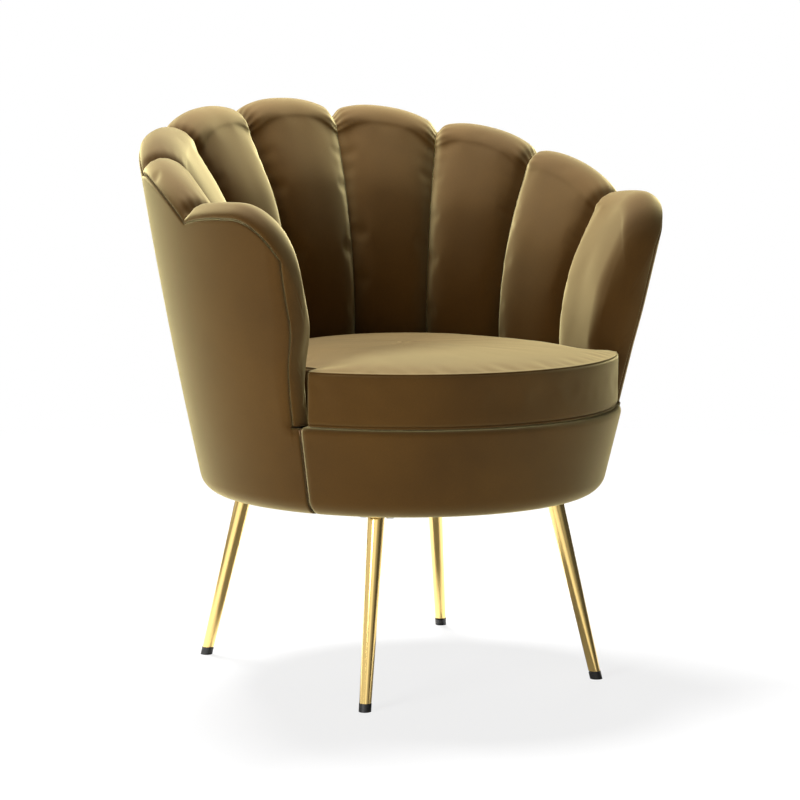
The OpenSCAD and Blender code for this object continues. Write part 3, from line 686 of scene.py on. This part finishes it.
def turned_body(name, rows, material, front_r=cushion_r):
    outline = plan_outline(OUTLINE_STEP, front_r)
    n = len(outline)
    tangent = np.roll(outline, -1, 0) - np.roll(outline, 1, 0)
    normal = np.stack([-tangent[:, 1], tangent[:, 0]], -1) / np.linalg.norm(tangent, axis=1)[:, None]
    normal *= np.sign((normal * outline).sum())
    rounder = outline
    for _ in range(ROUNDING_PASSES):
        rounder = (np.roll(rounder, 1, 0) + 2 * rounder + np.roll(rounder, -1, 0)) / 4
    rings = []
    for side, share, z, _ in rows:
        plan = mix(outline, rounder, float(smooth(share * 4)))
        rings.append(np.column_stack([(plan - normal * side * (1 - share)) * (1 - share), np.full(n, z)]))
    points = np.concatenate(rings) + (0, middle_y, cushion_low.z)
    index = np.arange(len(rows) * n).reshape(len(rows), n)
    faces = grid_faces(np.concatenate([index, index[:, :1]], 1))
    faces += [index[0].tolist(), index[-1][::-1].tolist()]
    piece = make_piece(name, points, faces, material)
    return piece, close_with_shares(piece, np.repeat([row[3] for row in rows], n))


def domed(share, height):
    return height * (1 - (1 - share) ** 2.3) ** 0.8


# A row has: how far inside the outline, the share of the way to the middle, the height, the free share
rows = [(8 * MM, share, 0, 0) for share in (0.98, 0.8, 0.55, 0.3, 0.12, 0.03)]
rows += [(side * MM, 0, z * MM, 0) for side, z in SEAM_EDGE]
for s in np.linspace(0, 1, BORDER_ROWS):
    bulge = 1 - abs(2 * s - 1) ** 2.2
    z = mix(5.6 * MM, border_h - 1 * MM, s)
    rows.append((mix(3.4 * MM, 0.4 * MM + room, bulge), 0, z, 0.3 if s in (0, 1) else 1))
rows.append((5.6 * MM, 0, border_h, 0))
for share in mix(0.004, 0.985, np.linspace(0, 1, PANEL_RINGS) ** 1.5):
    z = border_h + 0.9 * MM + domed(share, crown_h - 0.9 * MM - room)
    rows.append((3.4 * MM, share, z, min(1, share * 30)))

cushion, free = turned_body("seat_cushion_velvet", rows, velvet)
moved = blow_up(cushion, free, pressure=0.8, slack=0.003, limit=6 * MM)
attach(cushion, "cushion")
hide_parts("seat_cushion")
print("cushion points:", len(cushion.data.vertices), "moved up to", round(moved / MM, 1), "mm")

# %% [markdown]
# A foam block fills the cushion. It is cut a little smaller than the cover, and only shows in an
# exploded view.

# %% Cushion foam
def plain_material(name, colour, roughness, metallic=0.0, specular=0.5):
    material, tree, shader = new_material(name)
    shader.inputs["Base Color"].default_value = linear(colour)
    shader.inputs["Roughness"].default_value = roughness
    shader.inputs["Metallic"].default_value = metallic
    if not metallic:
        shader.inputs["Specular IOR Level"].default_value = specular
    return material, tree, shader


def speckled(material, tree, shader, colours, spot, depth):
    place = add(tree, "ShaderNodeTexCoord").outputs["Object"]
    noise = add(tree, "ShaderNodeTexNoise", {"Vector": place, "Scale": 1 / spot, "Detail": 4}).outputs["Fac"]
    spread = add(tree, "ShaderNodeMapRange", {"Value": noise, "From Min": 0.35, "From Max": 0.65})
    tone = add(tree, "ShaderNodeMix", {"Factor": spread.outputs[0]}, data_type="RGBA")
    tone.inputs["A"].default_value, tone.inputs["B"].default_value = (linear(c) for c in colours)
    bump = add(tree, "ShaderNodeBump", {"Height": noise, "Strength": 0.4, "Distance": depth})
    tree.links.new(tone.outputs["Result"], shader.inputs["Base Color"])
    tree.links.new(bump.outputs[0], shader.inputs["Normal"])
    return material


foam = speckled(*plain_material("cut_foam", "#efe6c8", 0.95), ("#efe6c8", "#e2d6b0"), 2.5 * MM,
                0.5 * MM)
rows = [(12 * MM, share, 7 * MM, 0) for share in (0.9, 0.6, 0.3, 0.05)]
rows += [(mix(12, 8, np.sin(a)) * MM, 0, mix(11, 7, np.cos(a)) * MM, 0)
         for a in np.radians([0, 30, 60, 90])]
rows += [(8 * MM, 0, z, 0) for z in mix(14 * MM, border_h - 14 * MM, np.linspace(0, 1, 5))]
rows += [(mix(16, 8, np.cos(a)) * MM, 0, border_h - mix(14, 7, np.sin(a)) * MM, 0)
         for a in np.radians([15, 40, 65, 90])]
rows += [(16 * MM, share, border_h - 7 * MM + domed(share, crown_h), 0)
         for share in np.linspace(0.03, 0.98, 16) ** 1.3]
cushion_foam = turned_body("cushion_foam", rows, foam)[0]
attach(cushion_foam, "cushion")
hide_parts("cushion_core")
foam_top = max(point.co.z for point in cushion_foam.data.vertices)
print("foam block height in mm:", round((foam_top - cushion_low.z) / MM))

# %% [markdown]
# The zip at the back of the border lets the cover come off for cleaning. Its teeth are one small block,
# set along a line at an even pitch, every second one a little lower, as two rows that interlock.
# Geometry Nodes sets them from the pitch and the tooth's size. The staples under the chair come from
# the same kind of tree.

# %% Zip teeth and staples
def repeat_tree(name):
    tree = bpy.data.node_groups.new(name, "GeometryNodeTree")
    face = tree.interface
    face.new_socket("Line", in_out="INPUT", socket_type="NodeSocketGeometry")
    kinds = {"Pitch": "Float", "Size": "Vector", "Stagger": "Float", "Material": "Material"}
    for label, kind in kinds.items():
        face.new_socket(label, in_out="INPUT", socket_type="NodeSocket" + kind)
    face.new_socket("Pieces", in_out="OUTPUT", socket_type="NodeSocketGeometry")
    given = add(tree, "NodeGroupInput").outputs
    curve = add(tree, "GeometryNodeMeshToCurve", {"Mesh": given["Line"]})
    spots = add(tree, "GeometryNodeResampleCurve", {"Curve": curve.outputs[0], "Length": given["Pitch"]},
                mode="LENGTH")
    tangent = add(tree, "GeometryNodeInputTangent")
    turn = add(tree, "FunctionNodeAlignRotationToVector", {"Vector": tangent.outputs[0]}, axis="X",
               pivot_axis="Z")
    block = add(tree, "GeometryNodeMeshCube", {"Size": given["Size"]})
    placed = add(tree, "GeometryNodeInstanceOnPoints", {
        "Points": spots.outputs[0], "Instance": block.outputs[0], "Rotation": turn.outputs[0]})
    index = add(tree, "GeometryNodeInputIndex")
    odd = add(tree, "ShaderNodeMath", {0: index.outputs[0], 1: 2.0}, operation="MODULO")
    drop = times(tree, odd.outputs[0], given["Stagger"])
    shift = add(tree, "ShaderNodeCombineXYZ", {"Z": drop})
    staggered = add(tree, "GeometryNodeTranslateInstances", {
        "Instances": placed.outputs[0], "Translation": shift.outputs[0]})
    staggered.inputs["Local Space"].default_value = False
    real = add(tree, "GeometryNodeRealizeInstances", {"Geometry": staggered.outputs[0]})
    coloured = add(tree, "GeometryNodeSetMaterial", {
        "Geometry": real.outputs[0], "Material": given["Material"]})
    add(tree, "NodeGroupOutput", {"Pieces": coloured.outputs[0]})
    return tree


def repeated(name, line, closed, tree, **values):
    count = len(line)
    edges = [(i, (i + 1) % count) for i in range(count if closed else count - 1)]
    mesh = bpy.data.meshes.new(name + "_line")
    mesh.from_pydata([tuple(p) for p in line], edges, [])
    carrier = bpy.data.objects.new(name + "_line", mesh)
    bpy.context.scene.collection.objects.link(carrier)
    nodes = carrier.modifiers.new("repeat", "NODES")
    nodes.node_group = tree
    for socket in tree.interface.items_tree:
        if socket.in_out == "INPUT" and socket.name in values:
            nodes[socket.identifier] = values[socket.name]
    bpy.context.view_layer.update()
    evaluated = carrier.evaluated_get(bpy.context.evaluated_depsgraph_get())
    made = bpy.data.meshes.new_from_object(evaluated)
    made.name = name
    piece = bpy.data.objects.new(name, made)
    bpy.context.scene.collection.objects.link(piece)
    bpy.data.objects.remove(carrier)
    return piece


def level_line(radius, turned, z):
    return np.column_stack([radius * np.sin(turned), middle_y + radius * np.cos(turned),
                            np.full(len(turned), z)])


zip_low, zip_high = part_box("cushion_zip")
zip_mid = (zip_low.z + zip_high.z) / 2
black_tape, *_ = plain_material("zip_tape_black", "#141312", 0.85, specular=0.2)
steel, *_ = plain_material("zinc_steel", "#a9abad", 0.35, metallic=1.0)
repeats = repeat_tree("set_along_a_line")
t = np.linspace(-36, 36, 73)
zip_line = level_line(plan_radius(t) + 1.5 * MM, np.radians(t), zip_mid)
teeth = repeated("zip_teeth", zip_line, False, repeats, Pitch=2.4 * MM,
                 Size=(1.5 * MM, 1.4 * MM, 3.2 * MM), Stagger=-1.2 * MM, Material=black_tape)
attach(teeth, "cushion")

dust_low, dust_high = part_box("dust_cover")
around = np.radians(90 - np.arange(0, 360, 3))
staple_line = level_line(dust_high.x - 7 * MM, around, dust_low.z - 0.25 * MM)
staples = repeated("staples", staple_line, True, repeats, Pitch=27 * MM,
                   Size=(10 * MM, 1.1 * MM, 0.6 * MM), Stagger=0.0, Material=steel)
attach(staples, "root")
print("zip teeth:", len(teeth.data.vertices) // 8, "staples:", len(staples.data.vertices) // 8)

# %% [markdown]
# The rigid pieces keep their meshes and get real finishes. The legs are steel tube, plated and polished
# to a warm gold, with the faint streaks that polishing along the tube leaves. The caps are moulded
# black plastic. Inside are pale plywood with its layers showing on the cut edges, brown fibreboard,
# woven elastic straps and black lining cloth.

# %% Finishes of the rigid pieces
def polished_gold():
    material, tree, shader = plain_material("polished_gold", "#dfc07a", 0.12, metallic=1.0)
    place = add(tree, "ShaderNodeTexCoord").outputs["Object"]
    along = add(tree, "ShaderNodeMapping", {"Vector": place, "Scale": (1, 1, 0.06)}).outputs[0]
    streaks = add(tree, "ShaderNodeTexNoise", {"Vector": along, "Scale": 1 / (1.2 * MM), "Detail": 2})
    roughness = add(tree, "ShaderNodeMapRange", {"Value": streaks.outputs["Fac"], "To Min": 0.06,
                                                 "To Max": 0.16})
    tree.links.new(roughness.outputs[0], shader.inputs["Roughness"])
    return material


def layered_wood(name, light, dark):
    material, tree, shader = plain_material(name, light, 0.6, specular=0.3)
    place = add(tree, "ShaderNodeTexCoord").outputs["Object"]
    layers = add(tree, "ShaderNodeTexWave", {"Vector": place, "Scale": 1 / (14 * MM), "Distortion": 0.6,
                                             "Detail": 2}, bands_direction="Z")
    along = add(tree, "ShaderNodeMapping", {"Vector": place, "Scale": (1, 0.08, 1)}).outputs[0]
    grain = add(tree, "ShaderNodeTexNoise", {"Vector": along, "Scale": 1 / (3 * MM), "Detail": 4})
    both = times(tree, layers.outputs["Fac"], grain.outputs["Fac"])
    tone = add(tree, "ShaderNodeMix", {"Factor": both}, data_type="RGBA")
    tone.inputs["A"].default_value, tone.inputs["B"].default_value = linear(light), linear(dark)
    tree.links.new(tone.outputs["Result"], shader.inputs["Base Color"])
    return material


def woven(name, light, dark, thread):
    material, tree, shader = plain_material(name, dark, 0.85, specular=0.2)
    place = add(tree, "ShaderNodeTexCoord").outputs["Object"]
    waves = [add(tree, "ShaderNodeTexWave", {"Vector": place, "Scale": 0.314 / thread}, bands_direction=d)
             for d in "XY"]
    weave = times(tree, waves[0].outputs["Fac"], waves[1].outputs["Fac"])
    tone = add(tree, "ShaderNodeMix", {"Factor": weave}, data_type="RGBA")
    tone.inputs["A"].default_value, tone.inputs["B"].default_value = linear(dark), linear(light)
    bump = add(tree, "ShaderNodeBump", {"Height": weave, "Strength": 0.5, "Distance": 0.3 * MM})
    tree.links.new(tone.outputs["Result"], shader.inputs["Base Color"])
    tree.links.new(bump.outputs[0], shader.inputs["Normal"])
    return material


finishes = {
    "gold_leg": polished_gold(),
    "foot_plastic": speckled(*plain_material("moulded_plastic", "#131313", 0.45), ("#131313", "#1a1a1a"),
                             0.8 * MM, 0.05 * MM),
    "plywood": layered_wood("birch_plywood", "#d9bd8c", "#a9824e"),
    "fibreboard": speckled(*plain_material("fibreboard", "#8a6a48", 0.85), ("#7d5e3d", "#94744f"),
                           3 * MM, 0.2 * MM),
    "velvet": velvet,
    "lining_cloth": woven("lining_cloth", "#2c2b2b", "#101010", 0.8 * MM),
    "elastic_strap": woven("elastic_strap", "#4a4744", "#191817", 1.6 * MM),
    "foam": foam,
    "zip_tape": black_tape,
    "zinc_steel": steel,
}
for part in frame["record"]["subparts"]:
    node = frame["nodes"][part["node"]]
    for place in node.material_slots:
        place.material = finishes[part["material_slot"]]

# %% [markdown]
# Under the cushion lies the deck: a thin pad of wadding, covered with the same black lining as the
# underside. It shows when the cushion is lifted out. It is held at its edges, so it domes a little
# between them.

# %% Deck
deck_low, deck_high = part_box("deck_pad")
pad_low = deck_low.z - cushion_low.z
pad_h = deck_high.z - deck_low.z
rows = [(6 * MM, share, pad_low, 0) for share in (0.95, 0.6, 0.3, 0.05)]
rows += [(mix(5, 1, np.sin(a)) * MM, 0, pad_low + 2 * MM * (1 - np.cos(a)), 0)
         for a in np.radians([0, 45, 90])]
rows += [(mix(7, 1, np.cos(a)) * MM, 0, pad_low + mix(3, 7, np.sin(a)) * MM, 0)
         for a in np.radians([15, 40, 65, 90])]
rows += [(7 * MM, share, pad_low + 7 * MM + domed(share, pad_h - 7 * MM), 0)
         for share in np.linspace(0.03, 0.98, 16)]
deck = turned_body("deck_cover", rows, finishes["lining_cloth"], middle_y - deck_low.y)[0]
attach(deck, "root")
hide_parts("deck_pad")
print("deck points:", len(deck.data.vertices))

# %% [markdown]
# The room is a pale floor under soft lamps, as in a product photograph. The strongest lamp is above and
# behind, so the cushion and the rims are bright and the inside of the back is dark. A lamp at the left
# lights the outside of the arm, and two weak ones fill the front and the right. The background is white
# only to the camera. The polished legs mirror a room that is bright at the left and dark at the right,
# and the velvet gets little light from it.

# %% Floor, world and lamps
def larger(tree, first, second):
    return add(tree, "ShaderNodeMath", {0: first, 1: second}, operation="MAXIMUM").outputs[0]


WORLD_LIGHT = 0.07
world = bpy.data.worlds.new("world")
bpy.context.scene.world = world
world.use_nodes = True
tree = world.node_tree
tree.nodes.clear()
path = add(tree, "ShaderNodeLightPath").outputs
direction = add(tree, "ShaderNodeTexCoord").outputs["Generated"]
across = add(tree, "ShaderNodeSeparateXYZ", {0: direction}).outputs["X"]
studio = add(tree, "ShaderNodeMapRange", {"Value": across, "From Min": -0.5, "From Max": 0.5,
                                          "To Min": 1.0, "To Max": 0.1}).outputs[0]
seen = larger(tree, path["Is Camera Ray"], path["Is Transmission Ray"])
strength = larger(tree, larger(tree, seen, times(tree, studio, path["Is Glossy Ray"])), WORLD_LIGHT)
sky = add(tree, "ShaderNodeBackground", {"Color": (1, 1, 1, 1), "Strength": strength})
add(tree, "ShaderNodeOutputWorld", {"Surface": sky.outputs[0]})

floor_mesh = bpy.data.meshes.new("floor")
floor_mesh.from_pydata([(-9, -9, 0), (9, -9, 0), (9, 9, 0), (-9, 9, 0)], [], [(0, 1, 2, 3)])
floor = bpy.data.objects.new("floor", floor_mesh)
bpy.context.scene.collection.objects.link(floor)
material, tree, shader = new_material("studio_floor")
shader.inputs["Base Color"].default_value = linear("#f2f2f2")
shader.inputs["Roughness"].default_value = 0.95
shader.inputs["Specular IOR Level"].default_value = 0.1
output = next(node for node in tree.nodes if node.type == "OUTPUT_MATERIAL")
white = add(tree, "ShaderNodeEmission", {"Color": (1, 1, 1, 1), "Strength": 1.0})
path = add(tree, "ShaderNodeLightPath").outputs
place = add(tree, "ShaderNodeTexCoord").outputs["Object"]
distance = add(tree, "ShaderNodeVectorMath", {0: place}, operation="LENGTH").outputs["Value"]
share = add(tree, "ShaderNodeMapRange", {"Value": distance, "From Min": 0.5, "From Max": 2.5,
                                         "To Min": 0.8, "To Max": 1.0}).outputs[0]
seen = times(tree, larger(tree, path["Is Camera Ray"], path["Is Transmission Ray"]), share)
both = add(tree, "ShaderNodeMixShader", {0: seen, 1: shader.outputs[0], 2: white.outputs[0]})
tree.links.new(both.outputs[0], output.inputs["Surface"])
floor_mesh.materials.append(material)


def lamp(name, place, size, power, aim=(0, 0, 0.45)):
    data = bpy.data.lights.new(name, "AREA")
    data.shape, data.size, data.energy = "DISK", size, power
    obj = bpy.data.objects.new(name, data)
    obj.location = place
    obj.rotation_mode = "QUATERNION"
    obj.rotation_quaternion = (Vector(aim) - Vector(place)).to_track_quat("-Z", "Y")
    bpy.context.scene.collection.objects.link(obj)


lamp("top_lamp", (0.1, 1.1, 2.9), 1.2, 220, aim=(0, 0, 0.4))
lamp("key_lamp", (-2.9, -1.1, 1.5), 1.4, 50)
lamp("fill_lamp", (-1.6, -3.2, 1.4), 2.0, 5)
lamp("rim_lamp", (1.8, 2.2, 1.8), 1.2, 20)
